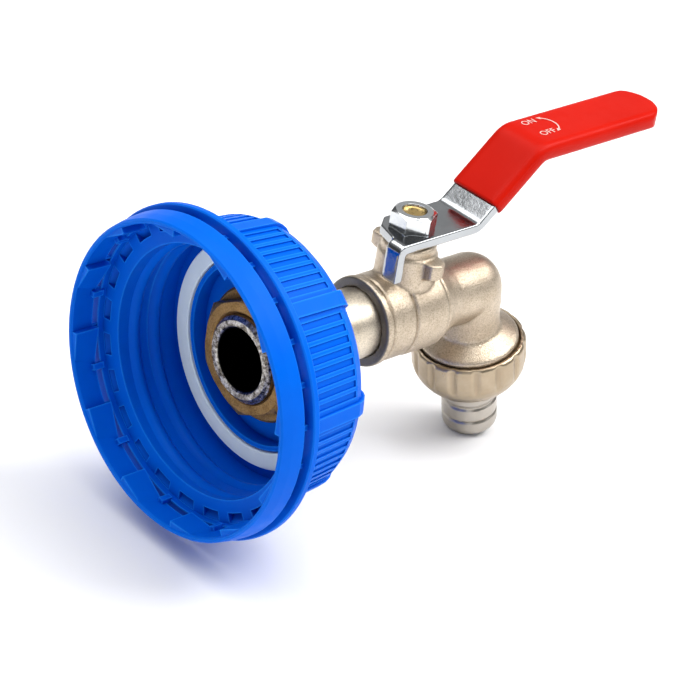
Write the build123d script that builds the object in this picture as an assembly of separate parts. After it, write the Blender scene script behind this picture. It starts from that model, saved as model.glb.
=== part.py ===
from build123d import *
import math
import os

# Canister tap: moulded screw cap with a tamper ring, lever ball valve and a
# swivelling hose tail.  Millimetres.  +X runs along the flow axis away from
# the canister, +Z runs up the stem.  The origin is the centre of the mouth of
# the cap's threaded wall.

# ---- driving dimensions ----------------------------------------------------
RIM = -9.0               # front edge of the tamper ring along X

# screw cap
RING_R, RING_IN, RING_LEN = 38.6, 36.5, 6.2
FLANGE_R, FLANGE_X0, FLANGE_X1 = 39.6, 7.9, 9.7
SKIRT_R0, SKIRT_R1, CAP_END = 34.4, 33.1, 31.4
THREAD_R, THREAD_X0, THREAD_X1 = 30.2, 9.0, 17.8
WELL_R, LEDGE_X = 30.6, 26.4
SPIGOT_R0, SPIGOT_R1, SPIGOT_X = 21.9, 23.1, 25.1
PANEL_X, CAP_HOLE_R = 29.0, 10.75
RIB_COUNT, RIB_PHASE, RIB_W = 8, 40.0, 3.6
GROOVES_PER_BAY, GROOVE_W, GROOVE_DEPTH = 8, 1.6, 0.4
FLAP_COUNT, FLAP_DEG, FLAP_PHASE = 12, 15.0, 21.0
BRIDGE_COUNT, POCKET_COUNT = 24, 24

# inlet connector and its clamping pieces
TUBE_END, TUBE_R, TUBE_BORE = 20.3, 10.45, 7.7
COLLAR_X0, COLLAR_X1, COLLAR_R = 33.0, 36.0, 14.0
NECK_R, NECK_END, NECK_BORE = 8.7, 64.6, 5.2
NUT_AF, NUT_FLANGE_R, NUT_X0, NUT_X1, NUT_X2 = 27.0, 16.5, 21.7, 25.6, 27.8

# valve body
BODY_X0, BODY_BORE = 57.4, 8.75
SEAM1, SEAM2, SEAM3 = 59.8, 67.5, 78.3
BODY_R0, BODY_R1, BODY_R2 = 11.25, 10.9, 11.1
STEM_X = 71.2
BOSS_R, BOSS_TOP, LUG_Z = 7.4, 16.6, 13.4
ELBOW_X, ELBOW_R, OUT_R, PASSAGE_R = 95.5, 8.5, 7.9, 5.5
OUT_DIR = (0.2436, 0.0, -0.96987)
SPIGOT_T0, SPIGOT_T1, SPIGOT_RAD = 14.8, 23.3, 12.75

# ball, seats, stem
BALL_R, BALL_BORE = 7.5, 5.0
STEM_R, STEM_BORE, STEM_TOP = 4.0, 4.05, 26.3
STEM_FLANGE_R = 5.2
COLLAR_RAD, COLLAR_TOP = 6.7, 19.3

# lever
PLATE_TOP, PLATE_T, PLATE_W = 22.7, 2.5, 14.2
LEVER_FRONT, BEND1_X, BEND2_X, BEND2_Z = 60.7, 87.2, 105.4, 38.7
LEVER_TIP, LEVER_TIP_Z = 149.2, 39.3
TAB = (-10.5, -8.0, -7.1, -2.4, 12.7)
GRIP_W, GRIP_T, GRIP_X0, GRIP_TIP = 15.8, 5.0, 91.5, 151.0

# union nut and hose tail, measured along the outlet from the elbow's corner
UNUT_T0, UNUT_T1, UNUT_R, UNUT_STRAIGHT = 16.0, 30.6, 14.6, 22.3
UNUT_FLUTES = 15
TAIL_END, TAIL_BORE, TAIL_SHANK = 43.7, 5.0, 7.6
BARB_R = 7.15

os.makedirs("parts", exist_ok=True)


# ---- helpers ---------------------------------------------------------------
def turned(points, degrees=360.0):
    """Solid of revolution about the flow axis; points are (distance, radius)."""
    pts = [(x + RIM, r) for x, r in points]
    face = make_face(Polyline(*pts, close=True).edges())
    return revolve(face, Axis.X, degrees)


def ring(x0, x1, r0, r1):
    return turned([(x0, r0), (x1, r0), (x1, r1), (x0, r1)])


def around(shape, count, phase=0.0):
    """Copies of a shape evenly about the flow axis."""
    return [Rot(phase + 360.0 * i / count, 0, 0) * shape for i in range(count)]


def rod_z(x, z0, z1, r):
    return Pos(x + RIM, 0, z0) * Cylinder(r, z1 - z0, align=(Align.CENTER, Align.CENTER, Align.MIN))


OUT_PLANE = Plane(origin=(ELBOW_X + RIM, 0, 0), x_dir=(0, 1, 0), z_dir=OUT_DIR)


def outlet(points):
    """Solid of revolution about the outlet axis; points are (radius, distance)."""
    face = make_face(Polyline(*[(r, 0, t) for r, t in points], close=True).edges())
    return OUT_PLANE.location * revolve(face, Axis.Z, 360)


def save(shape, name):
    shape.label = name
    export_step(shape, "parts/%s.step" % name)


# ---- screw cap -------------------------------------------------------------
cap = turned([
    (THREAD_X0, THREAD_R), (THREAD_X1, THREAD_R), (THREAD_X1, WELL_R), (LEDGE_X, WELL_R),
    (LEDGE_X, SPIGOT_R1), (SPIGOT_X, SPIGOT_R1), (SPIGOT_X, SPIGOT_R0), (PANEL_X, SPIGOT_R0),
    (PANEL_X, CAP_HOLE_R), (CAP_END, CAP_HOLE_R), (CAP_END, 22.6), (29.0, 23.4), (29.0, 27.4),
    (CAP_END, 28.0), (CAP_END, 29.0), (30.3, 30.6), (28.8, 32.1), (26.8, SKIRT_R1), (11.4, 34.3), (FLANGE_X1, 36.2),
    (FLANGE_X1, FLANGE_R - 0.3), (FLANGE_X1 - 0.3, FLANGE_R), (FLANGE_X0 + 0.3, FLANGE_R),
    (FLANGE_X0, FLANGE_R - 0.3), (FLANGE_X0, 36.5), (7.4, 36.3), (7.4, 35.9), (THREAD_X0, 35.8),
])
# tall ribs that run over the rear edge
rib_face = make_face(Polyline(
    (FLANGE_X1 + RIM - 0.4, 33.0), (FLANGE_X1 + RIM - 0.4, 35.0), (27.2 + RIM, 33.7), (28.9 + RIM, 33.0),
    (30.4 + RIM, 31.7), (31.3 + RIM, 30.3), (31.7 + RIM, 29.1), (31.7 + RIM, 28.6), (29.6 + RIM, 28.3),
    (26.6 + RIM, 31.8),
    close=True).edges())
rib = extrude(rib_face, RIB_W / 2, both=True)
# plain recessed grooves between the ribs
slope = math.degrees(math.atan2(SKIRT_R0 - SKIRT_R1, 26.8 - FLANGE_X1))
mid_x, mid_r = 18.9, SKIRT_R0 - (18.9 - FLANGE_X1) * (SKIRT_R0 - SKIRT_R1) / (26.8 - FLANGE_X1)
groove = Pos(mid_x + RIM, mid_r, 0) * Rot(0, 0, -slope) * Box(15.0, 2 * GROOVE_DEPTH, GROOVE_W)
grooves = []
for b in range(RIB_COUNT):
    for k in range(GROOVES_PER_BAY):
        a = RIB_PHASE + 360.0 / RIB_COUNT * (b + 0.5) + 4.5 * (k - (GROOVES_PER_BAY - 1) / 2)
        grooves.append(Rot(a, 0, 0) * groove)
# tapered pockets in the front face of the skirt
pocket = Rot(-4.4, 0, 0) * turned([(8.8, 33.3), (11.2, 33.3), (11.2, 33.5), (9.3, 35.7), (8.8, 35.7)], 8.8)
cap = cap + around(rib, RIB_COUNT, RIB_PHASE)
cap = cap - grooves - around(pocket, POCKET_COUNT, 13.5)
# tamper ring, its break-off bridges, folded flaps and small posts
tamper = turned([(0.5, RING_IN), (0.0, 36.9), (0.0, 37.4), (0.4, 37.8), (3.0, 38.3),
                 (RING_LEN - 0.3, RING_R), (RING_LEN, RING_R - 0.3), (RING_LEN, RING_IN)])
bridge = Pos(7.05 + RIM, 37.0, 0) * Box(2.2, 0.9, 1.3)


def ring_section(points, angle):
    """Face in the half plane at an angle about the flow axis, from (distance from the rim, radius) pairs."""
    c, n = math.cos(math.radians(angle)), math.sin(math.radians(angle))
    return make_face(Polyline(*[(x + RIM, r * c, r * n) for x, r in points], close=True).edges())


# each flap is a flat ramp: proud of the ring at one end, running into the ring wall at the other
flap = loft([
    ring_section([(0.4, 35.0), (7.0, 34.9), (7.0, 36.0), (6.0, 36.9), (0.4, 36.9)], 0.0),
    ring_section([(0.6, 37.35), (6.0, 36.65), (6.0, 36.9), (5.6, 37.5), (0.6, 37.6)], -FLAP_DEG)], ruled=True)
post = Pos(6.4 + RIM, 36.2, 0) * Box(3.0, 1.6, 1.5)
tamper = tamper + around(flap, FLAP_COUNT, FLAP_PHASE) + around(post, FLAP_COUNT, FLAP_PHASE - FLAP_DEG - 0.5)
cap = cap + tamper + around(bridge, BRIDGE_COUNT, FLAP_PHASE - FLAP_DEG - 0.5)
save(cap, "screw_cap")

# ---- sealing and clamping pieces inside the cap ----------------------------
gasket = turned([(24.9, 23.6), (24.7, 23.9), (24.7, 27.5), (25.0, 27.8), (LEDGE_X, 27.8), (LEDGE_X, 23.6)])
save(gasket, "cap_gasket")

nut_hex = Pos(NUT_X0 + RIM, 0, 0) * Rot(0, 90, 0) * extrude(
    RegularPolygon(NUT_AF / 2, 6, major_radius=False), NUT_X1 - NUT_X0 + 0.4)
nut_cone = turned([(NUT_X0, 0), (NUT_X0, 13.6), (NUT_X0 + 1.2, 15.8), (NUT_X1 + 0.4, 15.8), (NUT_X1 + 0.4, 0)])
back_nut = (nut_hex & nut_cone) + turned([
    (NUT_X1, 0), (NUT_X1, 15.9), (NUT_X1 + 0.5, NUT_FLANGE_R), (NUT_X2, NUT_FLANGE_R), (NUT_X2, 0)])
back_nut = back_nut - turned([
    (NUT_X0 - 0.1, 0), (NUT_X0 - 0.1, 11.4), (NUT_X0 + 0.9, TUBE_R + 0.05), (NUT_X2 + 0.1, TUBE_R + 0.05), (NUT_X2 + 0.1, 0)])
save(back_nut, "back_nut")

save(ring(NUT_X2, PANEL_X, 10.6, 16.0), "inner_washer")
save(ring(CAP_END, COLLAR_X0, 10.6, 14.0), "outer_washer")

# ---- inlet connector -------------------------------------------------------
connector = turned([
    (TUBE_END, TUBE_BORE + 0.5), (TUBE_END, TUBE_R - 0.9), (TUBE_END + 0.9, TUBE_R), (COLLAR_X0, TUBE_R),
    (COLLAR_X0, COLLAR_R), (COLLAR_X1 - 0.5, COLLAR_R), (COLLAR_X1, COLLAR_R - 0.5), (COLLAR_X1, NECK_R + 1.0),
    (COLLAR_X1 + 1.0, NECK_R), (60.0, NECK_R), (60.0, 7.2), (61.6, 7.2), (61.6, NECK_R), (NECK_END, NECK_R),
    (NECK_END, NECK_BORE), (52.0, NECK_BORE), (49.0, TUBE_BORE), (TUBE_END + 0.5, TUBE_BORE)])
save(connector, "inlet_connector")

o_ring_path = Pos(60.8 + RIM, 0, 0) * Rot(0, 90, 0) * Torus(7.97, 0.7)
save(o_ring_path, "body_o_ring")

# ---- valve body ------------------------------------------------------------
barrel = turned([
    (BODY_X0, 0), (BODY_X0, BODY_R0 - 0.4), (BODY_X0 + 0.4, BODY_R0), (SEAM1 - 0.3, BODY_R0), (SEAM1, BODY_R1 - 0.55),
    (SEAM1 + 0.5, BODY_R1 - 0.55), (SEAM1 + 0.8, BODY_R1), (SEAM2 - 0.3, BODY_R1), (SEAM2, BODY_R1 - 0.6),
    (SEAM2 + 0.5, BODY_R1 - 0.6), (SEAM2 + 0.8, BODY_R2), (SEAM3 - 0.3, BODY_R2), (SEAM3, BODY_R2 - 0.8),
    (SEAM3 + 0.5, BODY_R2 - 0.8), (SEAM3 + 0.8, BODY_R2 - 0.55), (82.5, 9.2), (85.5, ELBOW_R), (ELBOW_X, ELBOW_R), (ELBOW_X, 0)])
corner = Pos(ELBOW_X + RIM, 0, 0) * Sphere(ELBOW_R)
drop = outlet([(0, 0), (ELBOW_R, 0), (ELBOW_R - 0.1, 4.0), (OUT_R, 9.0), (OUT_R, 11.9), (OUT_R + 0.5, 12.6),
               (SPIGOT_RAD - 0.6, SPIGOT_T0), (SPIGOT_RAD, SPIGOT_T0 + 0.6),
               (SPIGOT_RAD, SPIGOT_T1 - 0.6), (SPIGOT_RAD - 0.6, SPIGOT_T1), (0, SPIGOT_T1)])
boss = rod_z(STEM_X, 0, BOSS_TOP, BOSS_R)
lug_outlines = [
    [(-2.2, 0.0), (-1.9, -6.0), (-1.2, -9.7), (1.1, -10.9), (3.7, -9.3), (4.2, -6.0), (4.2, 0.0)],
    [(-1.3, 0.0), (-1.3, 11.3), (1.3, 12.4), (3.9, 10.6), (4.3, 6.0), (4.3, 0.0)]]
lugs = []
for outline in lug_outlines:
    face = make_face(Polyline(*[(STEM_X + RIM + x, y, 7.0) for x, y in outline], close=True).edges())
    side = 1 if outline[1][1] > 0 else -1
    # the underside slopes down towards the boss
    under = make_face(Polyline(*[(STEM_X + RIM, side * y, z) for y, z in (
        (0, 7.0), (0, BOSS_TOP), (13.0, BOSS_TOP), (13.0, LUG_Z), (6.6, LUG_Z - 1.6), (5.6, 7.0))], close=True).edges())
    lugs.append(extrude(face, BOSS_TOP - 7.0, dir=(0, 0, 1)) & extrude(under, 8.0, dir=(1, 0, 0), both=True))
# raised collar around the stem
collar = rod_z(STEM_X, BOSS_TOP - 1, COLLAR_TOP - 0.5, COLLAR_RAD) + Pos(STEM_X + RIM, 0, COLLAR_TOP - 0.5) * Cone(
    COLLAR_RAD, COLLAR_RAD - 0.5, 0.5, align=(Align.CENTER, Align.CENTER, Align.MIN))
body = barrel + corner + drop + boss + collar + lugs
# ball chamber, flow passage, stem bore
body = body - turned([(BODY_X0 - 1, 0), (BODY_X0 - 1, BODY_BORE), (77.85, BODY_BORE), (77.85, PASSAGE_R), (ELBOW_X, PASSAGE_R), (ELBOW_X, 0)])
body = body - (Pos(ELBOW_X + RIM, 0, 0) * Sphere(PASSAGE_R))
body = body - outlet([(0, 0), (PASSAGE_R, 0), (PASSAGE_R, SPIGOT_T1 + 1), (0, SPIGOT_T1 + 1)])
body = body - rod_z(STEM_X, 0, COLLAR_TOP + 1, STEM_BORE)
body = body - rod_z(STEM_X, 0, 10.6, 5.5)
save(body, "valve_body")

# ---- ball, seats, stem and stem seals --------------------------------------
ball_at = Pos(STEM_X + RIM, 0, 0)
ball = ball_at * (Sphere(BALL_R) - Rot(0, 90, 0) * Cylinder(BALL_BORE, 30) - Pos(0, 0, 7.3) * Box(2.6, 20, 4.0))
save(ball, "ball")


def seat(side):
    """Turned sealing ring with a hollow that follows the ball."""
    rs, r_out = BALL_R + 0.05, 8.0
    at = lambda r: math.sqrt(rs * rs - r * r)
    px = lambda d: STEM_X + RIM + side * d
    x_lip = 3.5
    r_lip = math.sqrt(rs * rs - x_lip * x_lip)
    arc = ThreePointArc((px(x_lip), r_lip), (px(at(6.0)), 6.0), (px(at(NECK_BORE)), NECK_BORE))
    rest = Polyline((px(at(NECK_BORE)), NECK_BORE), (px(6.6), NECK_BORE), (px(6.6), r_out), (px(x_lip), r_out), (px(x_lip), r_lip))
    return revolve(make_face(arc.edges() + rest.edges()), Axis.X, 360)


save(seat(-1), "inlet_seat")
save(seat(1), "outlet_seat")

stem = (rod_z(STEM_X, 8.3, 9.75, STEM_FLANGE_R) + rod_z(STEM_X, 9.0, PLATE_TOP - PLATE_T, STEM_R)
        + Pos(STEM_X + RIM, 0, 6.95) * Box(2.5, 5.8, 3.0))
neck = rod_z(STEM_X, 19.5, STEM_TOP - 0.5, 3.0)
flat_z = PLATE_TOP - PLATE_T / 2
flats = Pos(STEM_X + RIM, 0, flat_z) * Box(7, 9, 2.5) - Pos(STEM_X + RIM, 0, flat_z) * Box(8, 4.6, 3)
stem = stem + (neck - flats)
stem = stem + Pos(STEM_X + RIM, 0, STEM_TOP - 0.5) * Cone(3.0, 2.5, 0.5, align=(Align.CENTER, Align.CENTER, Align.MIN))
for zc in (12.2, 14.4):
    stem = stem - (rod_z(STEM_X, zc - 0.6, zc + 0.6, 5) - rod_z(STEM_X, zc - 0.6, zc + 0.6, 2.95))
save(stem, "stem")
save(Pos(STEM_X + RIM, 0, 12.2) * Torus(3.5, 0.5), "stem_o_ring_lower")
save(Pos(STEM_X + RIM, 0, 14.4) * Torus(3.5, 0.5), "stem_o_ring_upper")
save(rod_z(STEM_X, 10.05, 10.55, 5.4) - rod_z(STEM_X, 9, 11, 4.1), "thrust_washer")


# ---- lever, grip and nut ---------------------------------------------------
def strip(points, below):
    """Side outline of a bent strip: the given top line and a parallel line below it."""
    low = []
    n = len(points)
    for i, (x, z) in enumerate(points):
        dirs = []
        if i > 0:
            dirs.append((x - points[i - 1][0], z - points[i - 1][1]))
        if i < n - 1:
            dirs.append((points[i + 1][0] - x, points[i + 1][1] - z))
        norms = [(dz / math.hypot(dx, dz), -dx / math.hypot(dx, dz)) for dx, dz in dirs]
        mx = sum(v[0] for v in norms) / len(norms)
        mz = sum(v[1] for v in norms) / len(norms)
        m2 = mx * mx + mz * mz
        low.append((x + below * mx / m2, z + below * mz / m2))
    return list(points) + low[::-1]


def rounded_bends(a, b, c, r, n=6):
    """Points of an arc of radius r that rounds the corner b."""
    ua = ((a[0] - b[0]) / math.dist(a, b), (a[1] - b[1]) / math.dist(a, b))
    uc = ((c[0] - b[0]) / math.dist(c, b), (c[1] - b[1]) / math.dist(c, b))
    ang = math.acos(max(-1, min(1, ua[0] * uc[0] + ua[1] * uc[1])))
    d = r / math.tan(ang / 2)
    bis = ((ua[0] + uc[0]), (ua[1] + uc[1]))
    h = math.hypot(*bis)
    o = (b[0] + bis[0] / h * r / math.sin(ang / 2), b[1] + bis[1] / h * r / math.sin(ang / 2))
    p0 = (b[0] + ua[0] * d, b[1] + ua[1] * d)
    p1 = (b[0] + uc[0] * d, b[1] + uc[1] * d)
    t0 = math.atan2(p0[1] - o[1], p0[0] - o[0])
    t1 = math.atan2(p1[1] - o[1], p1[0] - o[0])
    dt = (t1 - t0 + math.pi) % (2 * math.pi) - math.pi
    return [(o[0] + r * math.cos(t0 + dt * k / n), o[1] + r * math.sin(t0 + dt * k / n)) for k in range(n + 1)]


def side_solid(outline, half_width):
    face = make_face(Polyline(*[(x + RIM, 0, z) for x, z in outline], close=True).edges())
    return extrude(face, half_width, dir=(0, 1, 0), both=True)


A, B = (LEVER_FRONT, PLATE_TOP), (BEND1_X, PLATE_TOP)
C, D = (BEND2_X, BEND2_Z), (LEVER_TIP, LEVER_TIP_Z)
top_line = [A] + rounded_bends(A, B, C, 3.0) + rounded_bends(B, C, D, 6.0) + [D]
lever = side_solid(strip(top_line, PLATE_T), PLATE_W / 2)


def plan_cut(front, x1, w, r_tip):
    """Plan outline with a given front edge and a round tip, as a tall prism."""
    pts = list(front) + [(x1 - r_tip, -w / 2)]
    for k in range(1, 12):
        t = -math.pi / 2 + math.pi * k / 12
        pts.append((x1 - r_tip + r_tip * math.cos(t), (w / 2) * math.sin(t)))
    pts.append((x1 - r_tip, w / 2))
    face = make_face(Polyline(*[(x + RIM, y, 0) for x, y in pts], close=True).edges())
    return extrude(face, 60, dir=(0, 0, 1))


# the front edge runs from the cut far corner to the stop tab on the near side
front_edge = [(68.5, PLATE_W / 2), (64.8, 4.2), (62.9, -1.9), (63.4, -2.4), (63.4, -PLATE_W / 2)]
lever = lever & plan_cut(front_edge, LEVER_TIP, PLATE_W, 6.0)
tab_x0, tab_x1, tab_y0, tab_y1, tab_z = TAB
ax, rx = STEM_X + tab_x0, PLATE_T + 0.1
tab_line = [(ax, tab_z), (ax, PLATE_TOP - rx)] + [
    (ax + rx - rx * math.cos(math.pi / 16 * k), PLATE_TOP - rx + rx * math.sin(math.pi / 16 * k)) for k in range(1, 8)]
tab_line += [(ax + rx, PLATE_TOP), (ax + rx + 1.0, PLATE_TOP), (ax + rx + 1.0, PLATE_TOP - PLATE_T), (STEM_X + tab_x1, PLATE_TOP - PLATE_T), (STEM_X + tab_x1, tab_z)]
tab_face = make_face(Polyline(*[(x + RIM, tab_y0, z) for x, z in tab_line], close=True).edges())
tab = extrude(tab_face, tab_y1 - tab_y0, dir=(0, 1, 0))
lever = lever + tab
hole = rod_z(STEM_X, PLATE_TOP - PLATE_T - 1, PLATE_TOP + 1, 3.03) - (
    Pos(STEM_X + RIM, 0, flat_z) * Box(8, 9, 6) - Pos(STEM_X + RIM, 0, flat_z) * Box(9, 4.66, 7))
lever = lever - hole
save(lever, "lever")

# soft sleeve: a rounded section swept along the middle of the steel strip
u = ((C[0] - B[0]) / math.dist(B, C), (C[1] - B[1]) / math.dist(B, C))
half = PLATE_T / 2
g0 = (GRIP_X0 + u[1] * half, B[1] + u[1] * (GRIP_X0 - B[0]) / u[0] - u[0] * half)
gC = (C[0] + math.tan(math.radians(22)) * half, C[1] - half)
gD = (GRIP_TIP, LEVER_TIP_Z - half)
grip_path = FilletPolyline(*[(x + RIM, 0, z) for x, z in (g0, gC, gD)], radius=5.5)
grip_plane = Plane(origin=(g0[0] + RIM, 0, g0[1]), x_dir=(0, 1, 0), z_dir=(u[0], 0, u[1]))
grip = sweep(grip_plane * RectangleRounded(GRIP_W, GRIP_T, 2.1), grip_path)
grip = grip & plan_cut([(80, GRIP_W / 2 + 0.01), (80, -GRIP_W / 2 - 0.01)], GRIP_TIP, GRIP_W + 0.02, 7.0)
hollow_line = [A] + rounded_bends(A, B, C, 3.0) + rounded_bends(B, C, D, 6.0) + [(LEVER_TIP + 0.05, LEVER_TIP_Z)]
hollow_line = [(x, z + 0.05) for x, z in hollow_line]
hollow = side_solid(strip(hollow_line, PLATE_T + 0.1), PLATE_W / 2 + 0.05) & plan_cut([(80, PLATE_W / 2 + 0.05), (80, -PLATE_W / 2 - 0.05)], LEVER_TIP + 0.06, PLATE_W + 0.1, 6.05)
grip = grip - hollow
save(grip, "lever_grip")

nut_h = 4.4
lever_nut = Pos(STEM_X + RIM, 0, PLATE_TOP) * extrude(RegularPolygon(5.0, 6, major_radius=False, rotation=28), nut_h)
lever_nut = lever_nut & (Pos(STEM_X + RIM, 0, PLATE_TOP) * revolve(make_face(Polyline(
    (0, 0, 0), (5.3, 0, 0), (5.85, 0, 0.35), (5.85, 0, nut_h - 0.65), (4.55, 0, nut_h), (0, 0, nut_h), close=True).edges()), Axis.Z, 360))
lever_nut = lever_nut - rod_z(STEM_X, PLATE_TOP - 1, PLATE_TOP + nut_h + 1, 3.03)
save(lever_nut, "lever_nut")

# ---- union nut, tail gasket and hose tail ----------------------------------
union = outlet([
    (13.2, UNUT_T0), (13.9, UNUT_T0), (UNUT_R, UNUT_T0 + 0.8), (UNUT_R, UNUT_STRAIGHT), (14.3, 24.0), (13.6, 25.7),
    (12.6, 27.2), (11.3, 28.7), (10.0, 29.8), (8.8, UNUT_T1), (7.95, UNUT_T1), (7.95, 27.4), (10.6, 27.4), (10.6, 24.0), (13.2, 24.0)])
flute = Pos(UNUT_R + 0.8, 0, UNUT_T0 - 0.1) * Cylinder(1.4, 11.6, align=(Align.CENTER, Align.CENTER, Align.MIN))
union = union - [OUT_PLANE.location * Rot(0, 0, 360.0 / UNUT_FLUTES * i) * flute for i in range(UNUT_FLUTES)]
save(union, "union_nut")

save(outlet([(5.6, 23.35), (10.2, 23.35), (10.2, 25.1), (5.6, 25.1)]), "tail_gasket")
tail = outlet([
    (TAIL_BORE, 25.1), (10.2, 25.1), (10.2, 27.1), (TAIL_SHANK, 27.1), (TAIL_SHANK, 31.2), (7.2, 31.9), (BARB_R, 33.6),
    (6.75, 34.6), (6.75, 35.0), (BARB_R, 35.5), (BARB_R, 38.6), (6.75, 39.3), (BARB_R, 39.8), (BARB_R, 42.0),
    (6.9, 42.9), (6.3, TAIL_END), (TAIL_BORE, TAIL_END)])
save(tail, "hose_tail")
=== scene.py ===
import math

import bmesh
import bpy
from mathutils import Matrix, Vector


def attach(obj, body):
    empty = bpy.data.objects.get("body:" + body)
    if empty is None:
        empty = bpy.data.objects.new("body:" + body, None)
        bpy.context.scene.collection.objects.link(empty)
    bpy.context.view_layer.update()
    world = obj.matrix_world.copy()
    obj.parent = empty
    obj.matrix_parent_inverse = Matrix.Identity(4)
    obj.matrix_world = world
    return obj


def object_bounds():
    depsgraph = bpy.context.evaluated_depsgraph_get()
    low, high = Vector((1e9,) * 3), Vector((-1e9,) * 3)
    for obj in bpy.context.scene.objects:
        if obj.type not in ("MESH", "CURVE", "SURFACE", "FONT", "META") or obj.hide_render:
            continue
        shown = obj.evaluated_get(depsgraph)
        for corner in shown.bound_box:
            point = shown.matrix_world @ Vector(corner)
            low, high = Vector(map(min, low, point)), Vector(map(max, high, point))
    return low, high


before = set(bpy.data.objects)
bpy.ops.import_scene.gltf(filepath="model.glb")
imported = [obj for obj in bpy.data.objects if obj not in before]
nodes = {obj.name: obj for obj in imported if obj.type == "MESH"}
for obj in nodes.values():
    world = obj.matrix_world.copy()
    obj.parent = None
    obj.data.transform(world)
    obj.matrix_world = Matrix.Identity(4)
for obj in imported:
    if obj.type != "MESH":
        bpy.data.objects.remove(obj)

scene = bpy.context.scene
cad_box = [list(map(float, v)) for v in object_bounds()]

MM = 0.001
RIM = -9.0                                   # front edge of the tamper ring along X, mm
OUT_O = Vector((86.5, 0.0, 0.0))             # elbow corner, mm
OUT_D = Vector((0.2436, 0.0, -0.96987)).normalized()
OUT_U = Vector((0.0, 1.0, 0.0))
OUT_V = OUT_D.cross(OUT_U)


# ---------------------------------------------------------------- mesh helpers
def new_object(name, bm, material, body, smooth_deg=35.0):
    me = bpy.data.meshes.new(name)
    bmesh.ops.recalc_face_normals(bm, faces=bm.faces)
    bm.to_mesh(me)
    bm.free()
    for p in me.polygons:
        p.use_smooth = True
    me.set_sharp_from_angle(angle=math.radians(smooth_deg))
    ob = bpy.data.objects.new(name, me)
    scene.collection.objects.link(ob)
    me.materials.append(material)
    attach(ob, body)
    return ob


def helix_ridge(name, r_base, profile, pitch, x0, turns, material, body, per_turn=96, start=0.0, fade=0.12, root=0.55,
                axis=None):
    """A thread ridge about the flow axis, or about another axis given as origin, direction and two cross directions. profile is (axial, radial) in mm, radial counted from r_base.
    root is the radial offset that the ridge sinks to at its ends."""
    bm = bmesh.new()
    o, d, u, v = axis or (Vector((RIM, 0, 0)), Vector((1, 0, 0)), Vector((0, 1, 0)), Vector((0, 0, 1)))
    n = int(per_turn * turns)
    rows = []
    for i in range(n + 1):
        t = i / n
        ang = start + 2 * math.pi * turns * t
        f = min(1.0, t / fade, (1 - t) / fade)
        f = max(0.0, f) ** 0.6
        x = x0 + pitch * turns * t
        row = []
        for a, q in profile:
            r = r_base + root + (q - root) * f
            row.append(bm.verts.new((o + d * (x + a) + u * (r * math.cos(ang)) + v * (r * math.sin(ang))) * MM))
        rows.append(row)
    m = len(profile)
    for i in range(n):
        for j in range(m):
            k = (j + 1) % m
            bm.faces.new((rows[i][j], rows[i][k], rows[i + 1][k], rows[i + 1][j]))
    bm.faces.new(rows[0])
    bm.faces.new(rows[-1][::-1])
    return new_object(name, bm, material, body)


# ------------------------------------------------------------ material helpers
def material(name):
    m = bpy.data.materials.new(name)
    m.use_nodes = True
    nt = m.node_tree
    nt.nodes.clear()
    out = nt.nodes.new("ShaderNodeOutputMaterial")
    bsdf = nt.nodes.new("ShaderNodeBsdfPrincipled")
    nt.links.new(bsdf.outputs[0], out.inputs[0])
    coord = nt.nodes.new("ShaderNodeTexCoord")
    return m, nt, bsdf, coord.outputs["Object"]


def noise(nt, vec, scale, detail=3.0, rough=0.55, stretch=None, distort=0.0):
    if stretch is not None:
        mp = nt.nodes.new("ShaderNodeMapping")
        mp.inputs["Scale"].default_value = stretch
        nt.links.new(vec, mp.inputs["Vector"])
        vec = mp.outputs[0]
    n = nt.nodes.new("ShaderNodeTexNoise")
    n.inputs["Scale"].default_value = scale
    n.inputs["Detail"].default_value = detail
    n.inputs["Roughness"].default_value = rough
    n.inputs["Distortion"].default_value = distort
    nt.links.new(vec, n.inputs["Vector"])
    return n.outputs["Fac"]


def ramp(nt, fac, stops, mode="LINEAR"):
    r = nt.nodes.new("ShaderNodeValToRGB")
    r.color_ramp.interpolation = mode
    el = r.color_ramp.elements
    while len(el) < len(stops):
        el.new(0.5)
    for e, (p, c) in zip(el, stops):
        e.position = p
        e.color = (c[0], c[1], c[2], 1.0)
    nt.links.new(fac, r.inputs[0])
    return r.outputs[0]


def remap(nt, fac, lo, hi, f0=0.3, f1=0.7):
    n = nt.nodes.new("ShaderNodeMapRange")
    n.inputs["From Min"].default_value = f0
    n.inputs["From Max"].default_value = f1
    n.inputs["To Min"].default_value = lo
    n.inputs["To Max"].default_value = hi
    nt.links.new(fac, n.inputs["Value"])
    return n.outputs[0]


def bump(nt, bsdf, height, strength, distance, normal=None):
    b = nt.nodes.new("ShaderNodeBump")
    b.inputs["Strength"].default_value = strength
    b.inputs["Distance"].default_value = distance
    nt.links.new(height, b.inputs["Height"])
    if normal is not None:
        nt.links.new(normal, b.inputs["Normal"])
    nt.links.new(b.outputs[0], bsdf.inputs["Normal"])
    return b.outputs[0]


def cavity(nt, colour, concave_tone, lo=0.42, hi=0.5):
    """Darken hollows from the surface's own pointiness."""
    g = nt.nodes.new("ShaderNodeNewGeometry")
    f = remap(nt, g.outputs["Pointiness"], 0.0, 1.0, lo, hi)
    mx = nt.nodes.new("ShaderNodeMix")
    mx.data_type = "RGBA"
    nt.links.new(f, mx.inputs[0])
    # hollows are laid darker, towards this colour; flat faces and edges keep their colour
    mx.inputs[6].default_value = (concave_tone[0], concave_tone[1], concave_tone[2], 1)
    nt.links.new(colour, mx.inputs[7])
    return mx.outputs[2]


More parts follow.
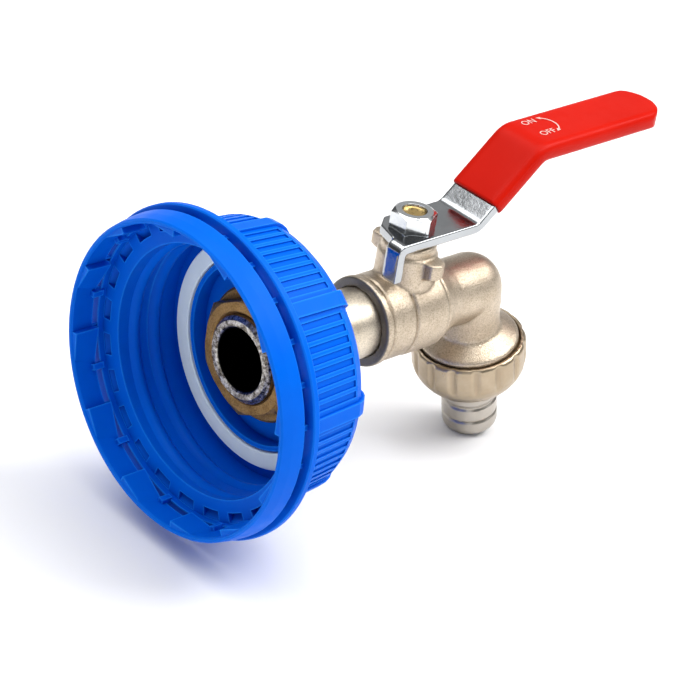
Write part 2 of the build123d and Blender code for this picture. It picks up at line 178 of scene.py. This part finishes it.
def blend(nt, under, over, fac, mode="MIX"):
    """Lay one colour over another; fac and over may be a socket or a constant."""
    mx = nt.nodes.new("ShaderNodeMix")
    mx.data_type = "RGBA"
    mx.blend_type = mode
    if isinstance(fac, float):
        mx.inputs[0].default_value = fac
    else:
        nt.links.new(fac, mx.inputs[0])
    nt.links.new(under, mx.inputs[6])
    if isinstance(over, tuple):
        mx.inputs[7].default_value = (over[0], over[1], over[2], 1)
    else:
        nt.links.new(over, mx.inputs[7])
    return mx.outputs[2]


def axes(nt, co):
    """X, and the distance from the flow axis."""
    sp = nt.nodes.new("ShaderNodeSeparateXYZ")
    nt.links.new(co, sp.inputs[0])
    cb = nt.nodes.new("ShaderNodeCombineXYZ")
    nt.links.new(sp.outputs[1], cb.inputs[1])
    nt.links.new(sp.outputs[2], cb.inputs[2])
    ln = nt.nodes.new("ShaderNodeVectorMath")
    ln.operation = "LENGTH"
    nt.links.new(cb.outputs[0], ln.inputs[0])
    return sp.outputs[0], ln.outputs["Value"]


def tube_zones(nt, co, col):
    """Worn bright end face, and the bore painted near-black as shade, on the inlet tube."""
    x, r = axes(nt, co)
    worn = ramp(nt, noise(nt, co, 1000.0, 8.0, 0.72), [(0.38, (0.03, 0.025, 0.02)), (0.46, (0.19, 0.165, 0.135)), (0.53, (0.44, 0.41, 0.36)), (0.66, (0.82, 0.80, 0.75))])
    col = blend(nt, col, worn, remap(nt, x, 1.0, 0.0, 0.0121, 0.0127))
    # painted shade: the bore inside r 7.8 mm is laid near-black
    return blend(nt, col, (0.006, 0.006, 0.006), remap(nt, r, 1.0, 0.0, 0.0078, 0.0080))


def body_zones(nt, co, col):
    """Machined ring face at the front of the cast body, painted dark as shade."""
    x, r = axes(nt, co)
    # painted shade: the front ring face is darkened to (0.15, 0.14, 0.125)
    return blend(nt, col, (0.15, 0.14, 0.125), remap(nt, x, 1.0, 0.0, 0.04865, 0.0489))


def relief(nt, inside, distance, top, lo, hi):
    """Mask for painted light: strong along outer edges (inside), for painted highlights, or in hollows (not inside),
    for painted shade; nothing on flat faces.
    """
    ao = nt.nodes.new("ShaderNodeAmbientOcclusion")
    ao.inside = inside
    ao.only_local = True
    ao.samples = 6
    ao.inputs["Distance"].default_value = distance
    return remap(nt, ao.outputs["AO"], top, 0.0, lo, hi)


def plastic(name, a, b, rough, mottle=60.0, grain=2600.0, grain_depth=0.00002, coat=0.0, sss=0.0, spec=0.5, edge=None):
    m, nt, bs, co = material(name)
    n1 = noise(nt, co, mottle, 4.0, 0.6)
    col = ramp(nt, n1, [(0.3, a), (0.7, b)])
    if edge is not None:
        # painted shade: the first edge colour is laid into hollows and recesses
        col = blend(nt, col, edge[0], relief(nt, False, 0.0035, 0.75, 0.35, 0.92))
        # painted highlight: the second edge colour is laid along outer edges
        col = blend(nt, col, edge[1], relief(nt, True, 0.0005, 0.6, 0.5, 0.95))
    nt.links.new(col, bs.inputs["Base Color"])
    n2 = noise(nt, co, mottle * 5, 3.0)
    nt.links.new(remap(nt, n2, rough - 0.06, rough + 0.08), bs.inputs["Roughness"])
    n3 = noise(nt, co, grain, 2.0)
    bump(nt, bs, n3, 0.25, grain_depth)
    bs.inputs["Specular IOR Level"].default_value = spec
    if coat:
        bs.inputs["Coat Weight"].default_value = coat
        bs.inputs["Coat Roughness"].default_value = 0.08
    if sss:
        bs.inputs["Subsurface Weight"].default_value = sss
        bs.inputs["Subsurface Radius"].default_value = (0.2, 0.4, 1.0)
        bs.inputs["Subsurface Scale"].default_value = 0.0015
    return m


def metal(name, a, b, rough, spread=0.08, mottle=120.0, grain=2200.0, depth=0.00006, strength=0.5, detail=4.0,
          stretch=None, concave_tone=None, speck=0.0, zones=None, painted_hollow_shade=None):
    m, nt, bs, co = material(name)
    bs.inputs["Metallic"].default_value = 1.0
    n1 = noise(nt, co, mottle, 5.0, 0.65)
    col = ramp(nt, n1, [(0.3, a), (0.7, b)])
    if speck:
        grit = ramp(nt, noise(nt, co, 2700.0, 3.0, 0.7), [(0.34, (0.30, 0.27, 0.24)), (0.5, (0.80, 0.79, 0.77)), (0.64, (1.0, 1.0, 1.0))])
        col = blend(nt, col, grit, speck, "MULTIPLY")
    if concave_tone is not None:
        # darker in hollows, from pointiness, towards the given colour
        col = cavity(nt, col, concave_tone)
    if painted_hollow_shade is not None:
        # painted shade: a darker colour is laid into hollows, seams and recesses by an occlusion mask
        col = blend(nt, col, painted_hollow_shade[0], relief(nt, False, painted_hollow_shade[1], 0.85, 0.40, 0.90))
    if zones is not None:
        col = zones(nt, co, col)
    nt.links.new(col, bs.inputs["Base Color"])
    n2 = noise(nt, co, mottle * 3.1, 4.0, 0.6)
    nt.links.new(remap(nt, n2, rough - spread, rough + spread), bs.inputs["Roughness"])
    n3 = noise(nt, co, grain, detail, 0.6, stretch)
    bump(nt, bs, n3, strength, depth)
    return m


# ------------------------------------------------------------------- materials
# cap_blue: painted shade (0.0, 0.05, 0.45) in hollows and painted highlight (0.02, 0.28, 0.92) along outer edges
blue = plastic("cap_blue", (0.0, 0.106, 0.64), (0.0, 0.125, 0.70), 0.38, 45.0, 1400.0, 0.00003, spec=0.04, edge=((0.0, 0.05, 0.45), (0.02, 0.28, 0.92)))
white = plastic("gasket_white", (0.76, 0.89, 0.92), (0.82, 0.93, 0.95), 0.62, 160.0, 1500.0, 0.00006, spec=0.3)
rubber = plastic("black_rubber", (0.012, 0.012, 0.013), (0.025, 0.025, 0.027), 0.6, 200.0)
seat = plastic("seat_white", (0.80, 0.79, 0.76), (0.86, 0.85, 0.83), 0.45, 200.0)
red = plastic("grip_red", (0.47, 0.007, 0.002), (0.52, 0.009, 0.003), 0.34, 40.0, 700.0, 0.00002, coat=0.03, spec=0.05)
ink = plastic("print_white", (0.72, 0.44, 0.40), (0.80, 0.52, 0.48), 0.5, 500.0)
# cast body, hose tail and back nut get painted shade in their hollows, seams and recesses
cast = metal("nickel_cast", (0.52, 0.43, 0.325), (0.65, 0.555, 0.44), 0.37, 0.07, 170.0, 2600.0, 0.00016, 0.8, concave_tone=(0.27, 0.21, 0.145),
             speck=0.55, zones=body_zones, painted_hollow_shade=((0.15, 0.105, 0.065), 0.0014))
turned = metal("nickel_turned", (0.375, 0.298, 0.205), (0.455, 0.372, 0.27), 0.33, 0.06, 150.0, 2600.0, 0.00004, 0.4, concave_tone=(0.20, 0.145, 0.09))
neck = metal("nickel_neck", (0.66, 0.575, 0.46), (0.79, 0.71, 0.59), 0.35, 0.06, 150.0, 2600.0, 0.00012, 0.7, speck=0.5, zones=tube_zones)
tailm = metal("nickel_tail", (0.45, 0.415, 0.365), (0.52, 0.48, 0.43), 0.33, 0.05, 140.0, 3200.0, 0.00002, 0.3, painted_hollow_shade=((0.12, 0.105, 0.085), 0.0012))
brass = metal("raw_brass", (0.30, 0.178, 0.062), (0.49, 0.305, 0.12), 0.54, 0.1, 260.0, 2400.0, 0.00014, 0.8, concave_tone=(0.06, 0.035, 0.016), speck=0.75,
              painted_hollow_shade=((0.02, 0.012, 0.006), 0.0028))
stemb = metal("stem_brass", (0.62, 0.42, 0.14), (0.74, 0.53, 0.22), 0.3, 0.08, 400.0, 1800.0, 0.00005, 0.5)
chrome = metal("lever_chrome", (0.38, 0.395, 0.41), (0.47, 0.485, 0.50), 0.15, 0.05, 90.0, 1100.0, 0.00007, 0.35, 6.0)
zinc = metal("nut_zinc", (0.62, 0.64, 0.65), (0.72, 0.74, 0.75), 0.17, 0.05, 300.0, 900.0, 0.00003, 0.3)
ballm = metal("chrome_ball", (0.82, 0.83, 0.84), (0.88, 0.88, 0.89), 0.07, 0.03)

by_node = {
    "screw_cap": blue, "cap_gasket": white, "back_nut": brass, "inner_washer": rubber, "outer_washer": rubber,
    "inlet_connector": neck, "body_o_ring": rubber, "valve_body": cast, "inlet_seat": seat, "outlet_seat": seat,
    "thrust_washer": seat, "ball": ballm, "stem": stemb, "stem_o_ring_lower": rubber, "stem_o_ring_upper": rubber,
    "lever": chrome, "lever_grip": red, "lever_nut": zinc, "union_nut": turned, "tail_gasket": rubber,
    "hose_tail": tailm,
}
for n, m in by_node.items():
    me = nodes[n].data
    me.materials.clear()
    me.materials.append(m)


# ------------------------------------------------- edge rounding on CAD pieces
def rounded(name, width, segments=2, angle=32.0):
    ob = nodes[name]
    w = ob.modifiers.new("weld", "WELD")
    w.merge_threshold = 0.000004
    b = ob.modifiers.new("edge", "BEVEL")
    b.width = width
    b.segments = segments
    b.limit_method = "ANGLE"
    b.angle_limit = math.radians(angle)
    b.use_clamp_overlap = True
    b.harden_normals = False


def cast_skin(name, voxel, repeat, factor=0.5):
    ob = nodes[name]
    r = ob.modifiers.new("skin", "REMESH")
    r.mode = "VOXEL"
    r.voxel_size = voxel
    r.use_smooth_shade = True
    s = ob.modifiers.new("soften", "SMOOTH")
    s.factor = factor
    s.iterations = repeat


cast_skin("valve_body", 0.00040, 3)
cast_skin("lever", 0.00030, 4)
rounded("lever_nut", 0.0003)
rounded("back_nut", 0.0003)
cast_skin("union_nut", 0.00034, 3)
cast_skin("lever_grip", 0.00040, 6)

# ------------------------------------------------------------- cap thread ridge
helix_ridge("cap_thread", 30.2, [(-2.1, 0.55), (-1.7, -0.05), (-1.15, -0.55), (-0.6, -1.0), (0.0, -1.18), (0.6, -1.0), (1.15, -0.55),
                                 (1.7, -0.05), (2.1, 0.55)], 6.0, 11.6, 1.9, blue, "housing", start=-2.53)

# ------------------------------------------------------------ inlet tube thread
helix_ridge("inlet_thread", 10.45, [(-0.55, -0.2), (-0.15, 0.32), (0.15, 0.32), (0.55, -0.2)], 1.814, 20.95, 0.75, neck,
            "housing", start=math.radians(150), fade=0.2, root=-0.25)

# --------------------------------------------------------- outlet spigot thread
helix_ridge("outlet_thread", 12.75, [(-0.75, -0.25), (-0.2, 0.26), (0.2, 0.26), (0.75, -0.25)], 1.814, 16.5, 3.2, turned,
            "housing", per_turn=72, fade=0.08, root=-0.3, axis=(OUT_O, OUT_D, OUT_U, OUT_V))


# ---------------------------------------------------------- print on the sleeve
def grip_z(x):
    return 39.95 + 0.0137 * (x - 96.4)


def label(name, text, cx, cy, size):
    cu = bpy.data.curves.new(name, "FONT")
    cu.body = text
    cu.align_x = "CENTER"
    cu.align_y = "CENTER"
    cu.size = size * MM
    cu.resolution_u = 6
    tmp = bpy.data.objects.new(name + "_tmp", cu)
    scene.collection.objects.link(tmp)
    bpy.context.view_layer.update()
    me = bpy.data.meshes.new_from_object(tmp.evaluated_get(bpy.context.evaluated_depsgraph_get()))
    bpy.data.objects.remove(tmp)
    bm = bmesh.new()
    bm.from_mesh(me)
    bpy.data.meshes.remove(me)
    for v in bm.verts:
        x, y = v.co.x / MM + cx, v.co.y / MM + cy
        v.co = Vector((x, y, grip_z(x) + 0.06)) * MM
    return new_object(name, bm, ink, "handle")


label("print_on", "ON", 102.2, 3.9, 2.9)
label("print_off", "OFF", 102.7, -2.3, 2.9)


def arc_arrow(name):
    bm = bmesh.new()
    c = Vector((104.25, 0.95))
    r, w = 3.96, 0.36
    a0, a1 = math.radians(57), math.radians(-57)
    pts = []
    n = 24
    for i in range(n + 1):
        a = a0 + (a1 - a0) * i / n
        pts.append((a, w / 2))

    def put(x, y):
        return bm.verts.new(Vector((x, y, grip_z(x) + 0.06)) * MM)

    inner = [put(c.x + (r - w / 2) * math.cos(a), c.y + (r - w / 2) * math.sin(a)) for a, _ in pts]
    outer = [put(c.x + (r + w / 2) * math.cos(a), c.y + (r + w / 2) * math.sin(a)) for a, _ in pts]
    for i in range(n):
        bm.faces.new((inner[i], outer[i], outer[i + 1], inner[i + 1]))
    for a, s in ((a0, 1), (a1, -1)):
        p = Vector((c.x + r * math.cos(a), c.y + r * math.sin(a)))
        t = Vector((-math.sin(a), math.cos(a))) * s
        q = Vector((math.cos(a), math.sin(a)))
        tri = [p + t * 1.1, p + q * 0.6 - t * 0.25, p - q * 0.6 - t * 0.25]
        bm.faces.new([put(v.x, v.y) for v in tri])
    return new_object(name, bm, ink, "handle")


arc_arrow("print_arrow")

# -------------------------------------------------------------- floor and light
floor_z = cad_box[0][2] - 0.0002
bm = bmesh.new()
for i in range(96):
    a = 2 * math.pi * i / 96
    bm.verts.new((0.06 + 0.62 * math.cos(a), 0.62 * math.sin(a), floor_z))
bm.faces.new(bm.verts)
fm = bpy.data.meshes.new("floor")
bm.to_mesh(fm)
bm.free()
floor = bpy.data.objects.new("floor", fm)
scene.collection.objects.link(floor)
m, nt, bs, co = material("floor_white")
n1 = noise(nt, co, 8.0, 2.0)
nt.links.new(ramp(nt, n1, [(0.3, (0.93, 0.93, 0.93)), (0.7, (0.95, 0.95, 0.95))]), bs.inputs["Base Color"])
bs.inputs["Roughness"].default_value = 0.9
bs.inputs["Specular IOR Level"].default_value = 0.1
fm.materials.append(m)

world = bpy.data.worlds.new("studio")
scene.world = world
world.use_nodes = True
wn = world.node_tree
wn.nodes.clear()
wo = wn.nodes.new("ShaderNodeOutputWorld")
bg = wn.nodes.new("ShaderNodeBackground")
wn.links.new(bg.outputs[0], wo.inputs[0])
wc = wn.nodes.new("ShaderNodeTexCoord")
sep = wn.nodes.new("ShaderNodeSeparateXYZ")
wn.links.new(wc.outputs["Generated"], sep.inputs[0])
wr = ramp(wn, sep.outputs["Z"], [(0.0, (1.34, 1.34, 1.34)), (0.12, (1.30, 1.30, 1.30)), (0.24, (0.09, 0.09, 0.092)), (0.52, (0.12, 0.12, 0.122)), (0.72, (0.5, 0.5, 0.5)), (1.0, (0.7, 0.7, 0.7))])
wn.links.new(wr, bg.inputs["Color"])
bg.inputs["Strength"].default_value = 0.75


def area(name, loc, target, size, power):
    li = bpy.data.lights.new(name, "AREA")
    li.shape = "RECTANGLE"
    li.size, li.size_y = size
    li.energy = power
    ob = bpy.data.objects.new(name, li)
    scene.collection.objects.link(ob)
    ob.location = loc
    d = Vector(target) - Vector(loc)
    ob.rotation_euler = d.to_track_quat("-Z", "Y").to_euler()
    return ob


area("key", (0.50, -0.34, 0.80), (0.05, 0, 0), (0.65, 0.65), 9.5)
area("top", (-0.10, 0.20, 0.95), (0.05, 0, 0), (1.1, 0.9), 8.5)
area("front", (-0.75, -0.75, 0.45), (0.02, 0, 0), (0.35, 0.6), 0.9)
area("back", (0.78, 0.66, 0.54), (0.06, 0, 0.02), (0.55, 0.40), 0.26)
area("side", (0.10, -0.80, 0.10), (0.06, 0, 0), (0.5, 0.16), 0.55)

# ---------------------------------------------------------------------- camera
F_PX = 2600.0
P0 = Vector((-40.488, 7.358, 585.36))
Xc = Vector((0.73037, -0.24478, 0.63769)).normalized()
Zc = Vector((0.14437, -0.85717, -0.49439))
Zc = (Zc - Xc * Zc.dot(Xc)).normalized()
Yc = Zc.cross(Xc)
right = Vector((Xc.x, Yc.x, Zc.x))
down = Vector((Xc.y, Yc.y, Zc.y))
fwd = Vector((Xc.z, Yc.z, Zc.z))
rim = Vector((RIM, 0, 0))
pos = rim - Vector((Xc.dot(P0), Yc.dot(P0), Zc.dot(P0)))
cam_data = bpy.data.cameras.new("camera")
cam_data.sensor_width = 36.0
cam_data.sensor_fit = "HORIZONTAL"
cam_data.lens = F_PX / 700.0 * 36.0
cam_data.clip_start = 0.01
cam_data.clip_end = 20.0
cam = bpy.data.objects.new("camera", cam_data)
scene.collection.objects.link(cam)
mw = Matrix.Identity(4)
for i, v in enumerate((right, -down, -fwd)):
    for k in range(3):
        mw[k][i] = v[k]
for k in range(3):
    mw[k][3] = pos[k] * MM
cam.matrix_world = mw
scene.camera = cam
scene.view_settings.view_transform = "Standard"

bpy.context.view_layer.update()
